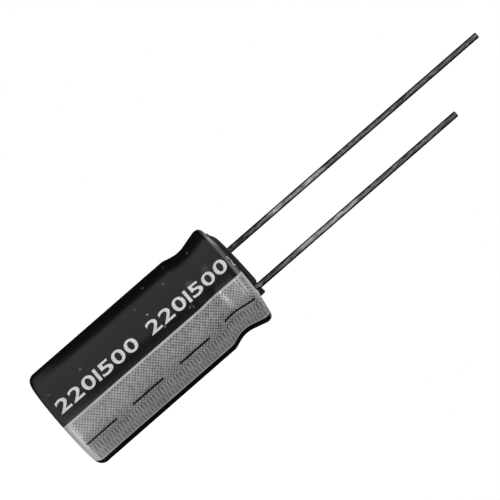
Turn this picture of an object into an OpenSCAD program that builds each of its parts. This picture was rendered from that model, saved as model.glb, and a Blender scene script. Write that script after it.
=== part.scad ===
// Radial aluminium electrolytic capacitor, stood on its closed end with its two leads upwards.
// The axis of the can is Z, the closed end lies at z = 0, and the leads stand on the X axis:
// the short negative lead at +X, the long positive lead at -X.

/* [Can] */
// Outside diameter of the bare aluminium can
can_d = 10; // [9:0.25:13]
// Height of the sleeved body, from its closed end to the top of its rim
body_len = 20.9; // [16:0.05:32]
// Thickness of the drawn aluminium
can_wall = 0.3; // [0.2:0.05:0.35]
// Outside radius of the corner at the closed end
end_corner = 0.65; // [0.5:0.05:1]
// Distance from the top of the body down to the middle of the rolled bead
bead_drop = 3.15; // [3:0.05:4]
// How far the bead is rolled into the wall
bead_depth = 0.62; // [0.4:0.02:0.8]
// How far the curled rim stands out past the wall
rim_flare = 0.12; // [0:0.02:0.2]
// Diameter of the hole inside the curled rim
rim_hole_d = 7.3; // [6.9:0.1:7.6]
// How far the edge of the rim is turned down onto the rubber
rim_hook = 0.55; // [0.5:0.05:0.8]

/* [Pressure vent] */
// Length of each score across the closed end
vent_len = 6; // [4:0.2:6.4]
// Width of a score
vent_w = 0.35; // [0.2:0.05:0.6]
// Depth of a score
vent_depth = 0.12; // [0.05:0.01:0.15]

/* [Sleeve] */
// Thickness of the shrunk plastic sleeve
sleeve_t = 0.15; // [0.1:0.01:0.25]
// Diameter of the hole that the sleeve leaves at the lead end
lip_top_d = 7; // [6.9:0.1:8]
// Diameter of the hole that the sleeve leaves at the closed end
lip_end_d = 7.6; // [6.6:0.1:8]
// How far the sleeve sinks into the bead
sleeve_dip = 0.36; // [0.2:0.02:0.4]

/* [Printed stripe] */
// Angle that the stripe takes round the can
stripe_angle = 63.7; // [40:0.1:90]
// Angle from the negative lead round to the middle of the stripe
stripe_turn = -21.5; // [-60:0.5:60]
// Thickness of the ink
ink_t = 0.02; // [0.01:0.01:0.04]
// Length of each minus sign that is left out of the ink
minus_len = 3.5; // [2:0.1:4.5]
// Width of each minus sign
minus_w = 0.18; // [0.1:0.02:0.6]
// Distance from one minus sign to the next
minus_pitch = 5.42; // [5:0.01:7]
// Height of the lowest minus sign
minus_start = 0.6; // [0.3:0.1:2]

/* [Rubber seal] */
// Diameter of the raised face of the seal
boss_d = 6.76; // [6.4:0.02:6.8]
// Height of that face over the top of the body
boss_rise = 0.5; // [0.3:0.01:1]
// Edge radius of that face
boss_edge = 0.15; // [0.05:0.05:0.3]
// Distance from the middle of the bead down to the bottom of the seal
seal_below = 2.2; // [1.8:0.1:3]

/* [Leads and tabs] */
// Diameter of the tinned lead wires
lead_d = 0.6; // [0.5:0.1:0.8]
// Distance between the leads
lead_pitch = 5; // [3.5:0.25:5]
// Free length of the positive lead over the raised face
long_lead = 30.35; // [10:0.05:36]
// Free length of the negative lead over the raised face
short_lead = 23.65; // [8:0.05:30]
// Diameter of the round aluminium stem in the seal
stem_d = 1.5; // [1.3:0.1:1.7]
// Distance from the raised face down to the weld of wire and stem
weld_depth = 0.1; // [0.05:0.05:0.15]
// Height of the cone at the weld
weld_cone = 0.35; // [0.2:0.05:0.5]
// Width of the flat paddle that is stitched to a foil
paddle_w = 1.5; // [1:0.1:1.6]
// Thickness of the paddle
paddle_t = 0.25; // [0.15:0.05:0.3]
// Number of holes that stitch each paddle to its foil
stitch_count = 4; // [2:1:6]
// Diameter of a stitch hole
stitch_d = 0.6; // [0.4:0.1:0.8]

/* [Wound element] */
// Diameter of the hole that the winding pin leaves
core_d = 1.8; // [1.4:0.1:2.4]
// Thickness of the etched anode foil
anode_t = 0.1; // [0.08:0.01:0.14]
// Thickness of the cathode foil
cathode_t = 0.05; // [0.03:0.01:0.08]
// Thickness of a separator paper
paper_t = 0.05; // [0.03:0.01:0.08]
// How far the papers stand past the foils at each end
foil_margin = 0.8; // [0.4:0.1:1.5]
// Thickness of the tape that holds the winding closed
tape_t = 0.05; // [0.03:0.01:0.1]
// Height of the tape
tape_h = 8; // [4:0.5:12]

/* [Clearances] */
// Between pieces that are seated in or on each other
fit_gap = 0.02; // [0.01:0.01:0.03]
// Between neighbouring layers of the winding
wind_gap = 0.01; // [0.005:0.005:0.02]
// Between a paddle and the layers that are wound over it
paddle_gap = 0.05; // [0.05:0.01:0.08]
// Between the winding and the can around it
element_gap = 0.1; // [0.05:0.05:0.3]
// Between the papers and the can's end below them or the seal over them
end_gap = 0.3; // [0.1:0.1:1]

/* [Hidden] */
$fn = 96;
arc_step = 8;

// Levels and radii of the body
can_r = can_d / 2;
end_z = sleeve_t + fit_gap;
rim_r = can_r + rim_flare;
crest_z = body_len - sleeve_t - fit_gap;
bead_z = body_len - bead_drop;
seal_z = bead_z - seal_below;
boss_z = body_len + boss_rise;
weld_z = boss_z - weld_depth;
lead_x = lead_pitch / 2;

// Bends of the bead and the rim, as distances from the middle of the bead and as fillet radii
bead_half = 1.78;
bead_rise = 2.22;
sleeve_half = 1.6;
sleeve_rise = 2.18;
bead_fillet = 0.5;
bead_shoulder = 0.6;
sleeve_fillet = 2.8;
sleeve_shoulder = 0.5;
rim_fillet = 0.38;
rim_fall = 0.3;

// How far the control points of the bead and of the sleeve's dip lie past their rounded bottoms
bead_past = 0.04;
dip_past = 0.114;

// The rim and the lip of the sleeve over it rise inwards at one slope
skin_r = can_r + fit_gap + sleeve_t;
skin_rim_r = rim_r + fit_gap + sleeve_t;
rim_slope = rim_fall / (skin_rim_r - lip_top_d / 2);
rim_top_z = crest_z - rim_fall + rim_slope * (rim_r - rim_hole_d / 2);
hook_z = rim_top_z - rim_hook;

function unit(v) = v / norm(v);
function right(v) = [v[1], -v[0]];
function turned(v, a) = [v[0] * cos(a) - v[1] * sin(a), v[0] * sin(a) + v[1] * cos(a)];
function reversed(list) = [for (i = [len(list) - 1 : -1 : 0]) list[i]];

// The points of an arc of radius f that rounds the corner at b, on the way from a to c
function corner(a, b, c, f) =
    let (d = unit(b - a), e = unit(c - b),
        turn = atan2(d[0] * e[1] - d[1] * e[0], d * e),
        n = right(d) * -sign(turn),
        start = b - d * f * tan(abs(turn) / 2),
        steps = max(1, ceil(abs(turn) / arc_step)))
    [for (i = [0 : steps]) start + f * (n - turned(n, turn * i / steps))];

// A path through control points [r, z, fillet], rounded at each one that has a fillet
function rounded(p) =
    [for (i = [0 : len(p) - 1], q = (len(p[i]) < 3 || i == 0 || i == len(p) - 1)
        ? [[p[i][0], p[i][1]]]
        : corner(flat(p[i - 1]), flat(p[i]), flat(p[i + 1]), p[i][2])) q];
function flat(p) = [p[0], p[1]];

// A path moved by d to its outer side, which is on the right of its way
function moved(path, d) =
    [for (i = [0 : len(path) - 1])
        let (a = path[max(i - 1, 0)], b = path[min(i + 1, len(path) - 1)])
        path[i] + d * right(unit(b - a))];

// The closed outline of a wall of thickness t on the inner side of a path
function wall(path, t) = concat(path, reversed(moved(path, -t)));

// Outside of the can: its end, wall, rolled bead and rim, curled over and turned down
can_path = rounded([
    [0, end_z],
    [can_r, end_z, end_corner],
    [can_r, bead_z - bead_half, bead_shoulder],
    [can_r - bead_depth - bead_past, bead_z, bead_fillet],
    [rim_r, bead_z + bead_rise, bead_shoulder],
    [rim_r, crest_z - rim_fall, rim_fillet],
    [rim_hole_d / 2, rim_top_z, rim_fillet],
    [rim_hole_d / 2, hook_z]]);

// Outside of the sleeve, which bridges the bead and lies over the rim as a lip
sleeve_path = rounded([
    [lip_end_d / 2, 0],
    [skin_r, 0, end_corner + sleeve_t],
    [skin_r, bead_z - sleeve_half, sleeve_shoulder],
    [skin_r - sleeve_dip - dip_past, bead_z, sleeve_fillet],
    [skin_rim_r, bead_z + sleeve_rise, sleeve_shoulder],
    [skin_rim_r, body_len - rim_fall, rim_fillet + sleeve_t],
    [lip_top_d / 2, body_len]]);

module revolved(outline) {
    rotate_extrude() polygon(outline);
}

module can() {
    color("silver") difference() {
        revolved(wall(can_path, can_wall));
        for (a = [0, 90])
            rotate([0, 0, a]) translate([-vent_len / 2, -vent_w / 2, end_z - vent_depth])
                cube([vent_len, vent_w, 2 * vent_depth]);
    }
}

module sleeve() {
    color([0.08, 0.08, 0.09]) revolved(wall(sleeve_path, sleeve_t));
}

// A field of ink on the sleeve between two heights, a degrees wide
module ink_field(z_low, z_high, a, t) {
    path = [for (p = sleeve_path) if (p[1] > z_low && p[1] < z_high) p];
    rotate([0, 0, -a / 2]) rotate_extrude(angle = a)
        polygon(concat(path, reversed(moved(path, t))));
}

module polarity_stripe() {
    minus_angle = minus_w / skin_r * 180 / PI;
    count = floor((body_len - minus_start - minus_len / 2) / minus_pitch) + 1;
    color([0.62, 0.62, 0.62]) rotate([0, 0, stripe_turn]) difference() {
        ink_field(2 * ink_t, body_len - ink_t, stripe_angle, ink_t);
        for (i = [0 : count - 1])
            rotate([0, 0, -minus_angle / 2]) rotate_extrude(angle = minus_angle)
                translate([skin_r / 2, minus_start + i * minus_pitch])
                    square([skin_r, minus_len]);
    }
}

// The bore that a stem, its weld and its wire take through the seal
module lead_bore() {
    stem_hole = stem_d / 2 + fit_gap;
    wire_hole = lead_d / 2 + fit_gap;
    translate([0, 0, seal_z - 1]) cylinder(h = weld_z - weld_cone - seal_z + 1, r = stem_hole);
    translate([0, 0, weld_z - weld_cone]) cylinder(h = weld_cone, r1 = stem_hole, r2 = wire_hole);
    translate([0, 0, weld_z]) cylinder(h = weld_depth + 1, r = wire_hole);
}

module rubber_seal() {
    seat = [for (p = moved(can_path, -can_wall - fit_gap))
        if (p[1] > seal_z && p[1] < hook_z - fit_gap) p];
    boss_r = boss_d / 2;
    shoulder_z = hook_z - fit_gap;
    face = rounded([
        [seat[len(seat) - 1][0], shoulder_z],
        [boss_r, shoulder_z],
        [boss_r, boss_z, boss_edge],
        [0, boss_z]]);
    color([0.1, 0.1, 0.1]) difference() {
        revolved(concat([[0, seal_z], [seat[0][0], seal_z]], seat, face));
        for (x = [-lead_x, lead_x]) translate([x, 0, 0]) lead_bore();
    }
}

module lead(length) {
    translate([0, 0, weld_z]) cylinder(h = weld_depth + length, d = lead_d);
}

module positive_lead() {
    color("silver") translate([-lead_x, 0, 0]) lead(long_lead);
}

module negative_lead() {
    color("silver") translate([lead_x, 0, 0]) lead(short_lead);
}

// The winding is a spiral of four layers in each turn: cathode foil, paper, anode foil, paper
cathode_slot = 0;
inner_slot = cathode_slot + cathode_t + wind_gap;
anode_slot = inner_slot + paper_t + wind_gap;
outer_slot = anode_slot + anode_t + wind_gap;
wind_pitch = outer_slot + paper_t + wind_gap;
core_r = core_d / 2;
station = 12;
bump_full = 24;
bump_none = 60;
bump_h = paddle_t + 2 * paddle_gap;
paper_lead_in = 300;
paper_run_out = 300;
tape_angle = 360;
anode_short = 60;

paper_z = end_z + can_wall + end_gap;
paper_h = seal_z - end_gap - paper_z;
foil_z = paper_z + foil_margin;
foil_h = paper_h - 2 * foil_margin;

element_r = can_r - can_wall - element_gap;
foil_turns = floor((element_r - core_r - bump_h - tape_t) / wind_pitch
    - (paper_run_out + tape_angle) / 360);
foil_end = 360 * foil_turns;

// A tab's place is [angle, turn, slot, thickness]: its paddle lies on the outside of the layer of
// that thickness in that slot of that turn
function tab_place(a, slot, t) =
    [a, round((lead_x - paddle_t / 2 - paddle_gap - core_r - slot - t) / wind_pitch - a / 360), slot, t];
negative_place = tab_place(0, cathode_slot, cathode_t);
positive_place = tab_place(180, anode_slot, anode_t);

// How far the layer in a slot is lifted, at winding angle a, by the paddle wound in below it
function lift(a, slot, place) =
    let (k = round((a - place[0]) / 360), away = abs(a - place[0] - 360 * k))
    k < place[1] || (k == place[1] && slot <= place[2]) || away >= bump_none ? 0
        : away <= bump_full ? bump_h
        : bump_h * (1 + cos(180 * (away - bump_full) / (bump_none - bump_full))) / 2;

// Radius at winding angle a of a surface in a slot, at depth t in its layer
function spiral_r(a, slot, t) =
    core_r + wind_pitch * a / 360 + slot + t
    + lift(a, slot, negative_place) + lift(a, slot, positive_place);

function spiral(from, to, slot, t) =
    [for (a = [from : station : to]) spiral_r(a, slot, t) * [cos(a), sin(a)]];

// A strip of thickness t and height h, wound in a slot between two winding angles
module strip(from, to, slot, t, h) {
    linear_extrude(height = h)
        polygon(concat(spiral(from, to, slot, 0), reversed(spiral(from, to, slot, t))));
}

module anode_foil() {
    color([0.55, 0.56, 0.58]) translate([0, 0, foil_z])
        strip(anode_short, foil_end - anode_short, anode_slot, anode_t, foil_h);
}

module cathode_foil() {
    color([0.72, 0.73, 0.75]) translate([0, 0, foil_z])
        strip(0, foil_end, cathode_slot, cathode_t, foil_h);
}

module inner_paper() {
    color([0.85, 0.76, 0.6]) translate([0, 0, paper_z])
        strip(-paper_lead_in, foil_end + paper_run_out, inner_slot, paper_t, paper_h);
}

module outer_paper() {
    color([0.8, 0.7, 0.53]) translate([0, 0, paper_z])
        strip(-paper_lead_in, foil_end + paper_run_out, outer_slot, paper_t, paper_h);
}

module winding_tape() {
    color([0.9, 0.9, 0.84]) translate([0, 0, paper_z + (paper_h - tape_h) / 2])
        strip(foil_end + paper_run_out, foil_end + paper_run_out + tape_angle, cathode_slot,
            tape_t, tape_h);
}

// The paddle, bent to the turn that it lies on, with its row of stitch holes
module paddle(paddle_r, h) {
    half_angle = asin(paddle_w / 2 / (paddle_r + paddle_t));
    stitch_pitch = foil_h / (stitch_count + 1);
    difference() {
        rotate([0, 0, -half_angle]) rotate_extrude(angle = 2 * half_angle)
            translate([paddle_r, 0]) square([paddle_t, h]);
        for (i = [1 : stitch_count])
            translate([paddle_r - paddle_t, 0, i * stitch_pitch]) rotate([0, 90, 0])
                cylinder(h = 3 * paddle_t, d = stitch_d);
    }
}

// A tab: the paddle, the flattened foot of the stem, the stem and the cone at its weld
module tab(place) {
    paddle_r = core_r + wind_pitch * (place[0] / 360 + place[1]) + place[2] + place[3] + paddle_gap;
    foot_z = seal_z - end_gap;
    rotate([0, 0, place[0]]) {
        translate([0, 0, foil_z]) paddle(paddle_r, foot_z - foil_z + end_gap / 2);
        intersection() {
            translate([lead_x, 0, foot_z]) cylinder(h = stem_d, d = stem_d);
            rotate([90, 0, 0]) linear_extrude(height = 2 * stem_d, center = true)
                polygon([[paddle_r, foot_z + fit_gap], [paddle_r + paddle_t, foot_z + fit_gap],
                    [lead_x + stem_d / 2, seal_z + end_gap], [lead_x + stem_d / 2, foot_z + stem_d],
                    [lead_x - stem_d / 2, foot_z + stem_d], [lead_x - stem_d / 2, seal_z + end_gap]]);
        }
        translate([lead_x, 0, seal_z + end_gap])
            cylinder(h = weld_z - weld_cone - seal_z - end_gap, d = stem_d);
        translate([lead_x, 0, weld_z - weld_cone])
            cylinder(h = weld_cone, d1 = stem_d, d2 = lead_d);
    }
}

module positive_tab() {
    color([0.7, 0.71, 0.73]) tab(positive_place);
}

module negative_tab() {
    color([0.66, 0.67, 0.7]) tab(negative_place);
}

can();
sleeve();
polarity_stripe();
rubber_seal();
positive_lead();
negative_lead();
positive_tab();
negative_tab();
anode_foil();
cathode_foil();
inner_paper();
outer_paper();
winding_tape();
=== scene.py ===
"""Dresses the radial electrolytic capacitor: sleeve, print, seal, can, leads and inner pieces.

The frame is the CAD model's: metres, +Z along the can towards the leads, the closed end at z = 0.
"""

from __future__ import annotations

import logging
import math
from dataclasses import dataclass, field
from enum import Enum

import bmesh
import bpy
import numpy as np
from bmesh.types import BMesh
from bpy.types import ID, Material, Node, NodeSocket, NodeTree, Object, bpy_prop_collection
from mathutils import Matrix, Vector


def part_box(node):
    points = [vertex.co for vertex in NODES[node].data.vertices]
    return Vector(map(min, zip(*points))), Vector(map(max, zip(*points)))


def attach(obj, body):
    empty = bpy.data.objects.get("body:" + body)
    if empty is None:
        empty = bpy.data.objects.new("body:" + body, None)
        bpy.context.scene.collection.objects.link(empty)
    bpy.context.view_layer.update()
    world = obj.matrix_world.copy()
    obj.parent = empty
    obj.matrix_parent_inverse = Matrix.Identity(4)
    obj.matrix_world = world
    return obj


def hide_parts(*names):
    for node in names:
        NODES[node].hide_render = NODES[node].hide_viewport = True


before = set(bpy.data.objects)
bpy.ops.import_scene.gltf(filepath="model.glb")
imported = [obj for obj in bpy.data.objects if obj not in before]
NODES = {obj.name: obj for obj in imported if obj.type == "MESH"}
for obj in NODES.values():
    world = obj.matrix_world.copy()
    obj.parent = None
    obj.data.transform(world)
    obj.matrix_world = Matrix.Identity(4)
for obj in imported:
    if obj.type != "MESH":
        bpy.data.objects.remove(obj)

MM = 0.001
MERGE = 0.0005 * MM
CUT = 1e-7
CREASE_DEG = 30.0
INK_SHARE = 0.95
LOG = logging.getLogger("capacitor")
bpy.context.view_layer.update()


class Slot(Enum):
    """The names of the record's material slots."""

    FILM = "sleeve_film"
    INK = "stripe_ink"
    RUBBER = "seal_rubber"
    WIRE = "tinned_wire"
    TAB = "tab_aluminium"


def rounded_path(points: list[tuple[float, ...]], step_deg: float = 3.0) -> np.ndarray:
    """A path through control points, with an arc of the given radius at each corner that has one.

    Each corner is replaced by the circle that touches both of its legs: the arc starts
    f * tan(t / 2) before the corner, for a fillet f and a turn t, and is stepped at equal angles.

    Args:
        points: (x, y) or (x, y, fillet) for each control point.
        step_deg: the most that the path turns from one point to the next.

    Returns:
        An (n, 2) array of points.
    """
    corners = [np.array(p[:2], float) for p in points]
    out = [corners[0][None]]
    for i in range(1, len(points) - 1):
        fillet = points[i][2] if len(points[i]) > 2 else 0.0
        if fillet <= 0:
            out.append(corners[i][None])
            continue
        before = corners[i] - corners[i - 1]
        after = corners[i + 1] - corners[i]
        before, after = before / np.linalg.norm(before), after / np.linalg.norm(after)
        turn = math.atan2(before[0] * after[1] - before[1] * after[0], float(before @ after))
        normal = np.array([-before[1], before[0]]) * math.copysign(1.0, turn)
        start = corners[i] - before * fillet * math.tan(abs(turn) / 2)
        count = max(2, int(math.ceil(abs(math.degrees(turn)) / step_deg)) + 1)
        swept = np.linspace(0.0, abs(turn), count)[:, None]
        out.append(start + fillet * (np.sin(swept) * before + (1 - np.cos(swept)) * normal))
    out.append(corners[-1][None])
    return np.concatenate(out)


def path_normals(path: np.ndarray) -> np.ndarray:
    """Unit normals of a 2-D path, on the right of its way: the tangent turned by -90 degrees.

    Args:
        path: an (n, 2) array of points.

    Returns:
        An (n, 2) array of unit vectors.
    """
    ahead = np.gradient(path, axis=0)
    ahead /= np.linalg.norm(ahead, axis=1, keepdims=True)
    return np.column_stack([ahead[:, 1], -ahead[:, 0]])


def path_lengths(path: np.ndarray) -> np.ndarray:
    """The length walked along a path at each of its points."""
    return np.concatenate([[0.0], np.cumsum(np.linalg.norm(np.diff(path, axis=0), axis=1))])


def ringed(r: np.ndarray | float, angle: np.ndarray, z: np.ndarray | float) -> np.ndarray:
    """Points by their radius, their angle about Z and their height."""
    return np.stack(np.broadcast_arrays(r * np.cos(angle), r * np.sin(angle), z), axis=-1)


def faded(value: np.ndarray, low: float, high: float) -> np.ndarray:
    """0 below low, 1 above high, and a smooth step between them: 3 t^2 - 2 t^3."""
    t = np.clip((value - low) / (high - low), 0, 1)
    return t * t * (3 - 2 * t)


def grid_quads(rows: int, cols: int, wrap_rows: bool, wrap_cols: bool) -> np.ndarray:
    """Vertex numbers of the quads of a grid whose vertex (i, j) is number i * cols + j.

    Args:
        rows, cols: the numbers of vertices the two ways.
        wrap_rows, wrap_cols: whether the last of them joins the first.

    Returns:
        An (m, 4) array of vertex numbers.
    """
    i, j = np.meshgrid(np.arange(rows if wrap_rows else rows - 1),
                       np.arange(cols if wrap_cols else cols - 1), indexing="ij")
    up, over = (i + 1) % rows, (j + 1) % cols
    quads = np.stack([i * cols + j, up * cols + j, up * cols + over, i * cols + over], axis=-1)
    return quads.reshape(-1, 4)


def linked(name: str, data: ID) -> Object:
    """A new object at the origin for a mesh, camera or lamp, linked to the scene.

    Args:
        name, data: the object's name and what it shows.

    Returns:
        The object.
    """
    made = bpy.data.objects.new(name, data)
    bpy.context.scene.collection.objects.link(made)
    return made


def mesh_object(name: str, points: np.ndarray, faces: list[list[int]],
                uv: np.ndarray | None = None, smooth: bool = True) -> Object:
    """Makes an object at the origin from points and faces, in metres.

    Args:
        name: the piece's name.
        points: an (n, 3) array.
        faces: the vertex numbers of each face, outward side counterclockwise.
        uv: an (n, 2) array, one row for each vertex.
        smooth: whether the faces are shaded smooth.

    Returns:
        The new object, linked to the scene.
    """
    mesh = bpy.data.meshes.new(name)
    mesh.from_pydata(points.tolist(), [], faces)
    if uv is not None:
        layer = mesh.uv_layers.new(name="UVMap")
        corner = np.empty(len(mesh.loops), np.int32)
        mesh.loops.foreach_get("vertex_index", corner)
        layer.data.foreach_set("uv", np.asarray(uv[corner], np.float32).ravel())
    mesh.polygons.foreach_set("use_smooth", np.full(len(mesh.polygons), smooth))
    mesh.update()
    mesh.validate()
    return linked(name, mesh)


def turned_out(points: np.ndarray, quads: np.ndarray) -> np.ndarray:
    """The quads of a closed shell, turned over if their signed volume says that they face inwards.

    Args:
        points: an (n, 3) array.
        quads: an (m, 4) array of vertex numbers.

    Returns:
        The quads, facing outwards.
    """
    a, b, c, d = (points[quads[:, k]] for k in range(4))
    volume = np.einsum("ij,ij", a, np.cross(b, c)) + np.einsum("ij,ij", a, np.cross(c, d))
    return quads if volume > 0 else quads[:, ::-1]


def dress(piece: Object, material: Material, slot: Slot, *nodes: str) -> None:
    """Gives a new piece its material and its body, and hides the CAD nodes it stands for.

    Args:
        piece, material, slot: the new piece and its finish; slot is not used.
        nodes: the CAD nodes that it replaces.
    """
    piece.data.materials.clear()
    piece.data.materials.append(material)
    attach(piece, "root")
    if nodes:
        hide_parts(*nodes)
    LOG.info("%s: %d faces, %s", piece.name, len(piece.data.polygons), material.name)


def repaint(node: str, material: Material) -> None:
    """Gives a CAD node's own object a new material in its slots.

    Args:
        node, material: the CAD node's name and its new finish.
    """
    piece = NODES[node]
    for entry in piece.material_slots:
        entry.material = material
    if not piece.material_slots:
        piece.data.materials.append(material)
    LOG.info("%s: CAD solid, %s", node, material.name)


def thicken(piece: Object, ink: float) -> None:
    """Gives a printed field most of the ink's thickness, from its outer face inwards."""
    wall = piece.modifiers.new("ink_thickness", "SOLIDIFY")
    wall.thickness, wall.offset = ink * INK_SHARE, -1.0


class Wiring:
    """Adds shader nodes to one tree and joins them."""

    def __init__(self, tree: NodeTree) -> None:
        """Keeps the tree that the nodes go into."""
        self.tree = tree

    def add(self, kind: str, **inputs: object) -> Node:
        """Adds a node.

        Args:
            kind: the node's class, such as ShaderNodeMath.
            inputs: a property of the node by its name, or an input socket by its name with spaces
                as underscores. A socket is linked, and anything else is set as its value.

        Returns:
            The new node.
        """
        node = self.tree.nodes.new(kind)
        for name, value in inputs.items():
            if hasattr(node, name) and not name[0].isupper():
                setattr(node, name, value)
        for name, value in inputs.items():
            if name[0].isupper():
                self.feed(node.inputs[name.replace("_", " ")], value)
        return node

    def feed(self, into: NodeSocket, value: object) -> None:
        """Links a socket to an input, or sets the input's own value.

        Args:
            into: the input.
            value: a socket to link, or a value to set.
        """
        if isinstance(value, NodeSocket):
            self.tree.links.new(value, into)
        else:
            into.default_value = value

    def math(self, operation: str, a: object, b: object = 0.0, c: object = 0.0) -> NodeSocket:
        """The result of a Math node on up to three numbers or sockets.

        Args:
            operation: the Math node's operation.
            a, b, c: its numbers or sockets.

        Returns:
            The result's socket.
        """
        node = self.tree.nodes.new("ShaderNodeMath")
        node.operation = operation
        for into, value in zip(node.inputs, (a, b, c), strict=False):
            self.feed(into, value)
        return node.outputs[0]

    def mix(self, share: object, a: object, b: object) -> NodeSocket:
        """The colour a, turned to the colour b by a share from 0 to 1.

        Args:
            share: a number or socket from 0 to 1.
            a, b: the colours at 0 and at 1.

        Returns:
            The mixed colour's socket.
        """
        node = self.tree.nodes.new("ShaderNodeMix")
        node.data_type = "RGBA"
        for into, value in ((node.inputs[0], share), (node.inputs[6], a), (node.inputs[7], b)):
            self.feed(into, value)
        return node.outputs[2]

    def scaled(self, colour: object, factor: object) -> NodeSocket:
        """A colour times a factor.

        Args:
            colour: a colour or socket.
            factor: a number or socket.

        Returns:
            The scaled colour's socket.
        """
        node = self.add("ShaderNodeVectorMath", operation="SCALE", Scale=factor)
        self.feed(node.inputs[0], colour)
        return node.outputs[0]

    def stretched(self, place: object, by: tuple[float, float, float]) -> NodeSocket:
        """Coordinates scaled along each axis."""
        return self.add("ShaderNodeMapping", Vector=place, Scale=by).outputs["Vector"]

    def flat(self) -> NodeSocket:
        """The piece's UV map."""
        return self.add("ShaderNodeUVMap", uv_map="UVMap").outputs["UV"]

    def split(self, vector: object) -> bpy_prop_collection:
        """The X, Y and Z of a vector."""
        return self.add("ShaderNodeSeparateXYZ", Vector=vector).outputs

    def steps(self, value: object, low: float, high: float, out_low: float = 0.0,
              out_high: float = 1.0) -> NodeSocket:
        """A value taken smoothly from the range low..high to out_low..out_high.

        Args:
            value: a number or socket.
            low, high: where the step begins and ends.
            out_low, out_high: the result before and after it.

        Returns:
            The result's socket.
        """
        node = self.add("ShaderNodeMapRange", interpolation_type="SMOOTHSTEP")
        for name, number in (("Value", value), ("From Min", low), ("From Max", high),
                             ("To Min", out_low), ("To Max", out_high)):
            self.feed(node.inputs[name], number)
        return node.outputs["Result"]

    def seen(self) -> NodeSocket:
        """1 for camera, glossy and transmission rays, and 0 for the rest.

        Returns:
            The mask's socket.
        """
        rays = self.add("ShaderNodeLightPath").outputs
        both = self.math("MAXIMUM", rays["Is Glossy Ray"], rays["Is Transmission Ray"])
        return self.math("MAXIMUM", rays["Is Camera Ray"], both)

    def group(self, tree: NodeTree, **inputs: object) -> Node:
        """Places a node group, with its inputs by name."""
        return self.add("ShaderNodeGroup", node_tree=tree, **inputs)


class Paint(Wiring):
    """The wiring of a new material round its Principled shader."""

    def __init__(self, name: str) -> None:
        """Makes the material.

        Args:
            name: the material's name.
        """
        self.material = bpy.data.materials.new(name)
        self.material.use_nodes = True
        super().__init__(self.material.node_tree)
        self.shader = self.tree.nodes["Principled BSDF"]

    def put(self, name: str, value: object) -> None:
        """Sets or links an input of the shader."""
        self.feed(self.shader.inputs[name], value)

    def place(self) -> NodeSocket:
        """Object coordinates."""
        return self.add("ShaderNodeTexCoord").outputs["Object"]

    def facing(self) -> NodeSocket:
        """0 where the surface is seen straight on, and 1 at its outline."""
        return self.add("ShaderNodeLayerWeight", Blend=0.5).outputs["Facing"]

    def mottled(self, share: object, level: float, low: float, high: float) -> NodeSocket:
        """A grey that goes from low times its level to high times its level, as a share rises."""
        return self.mix(share, grey(level * low), grey(level * high))

    def relief(self, height: object, depth_mm: float) -> None:
        """Sets the normal from a height between 0 and 1 that stands for a depth in millimetres."""
        node = self.add("ShaderNodeBump", Height=height, Distance=depth_mm * MM)
        self.put("Normal", node.outputs["Normal"])


def grey(level: float) -> tuple[float, float, float, float]:
    """A neutral colour of a linear level, with full alpha."""
    return (level, level, level, 1.0)


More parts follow.
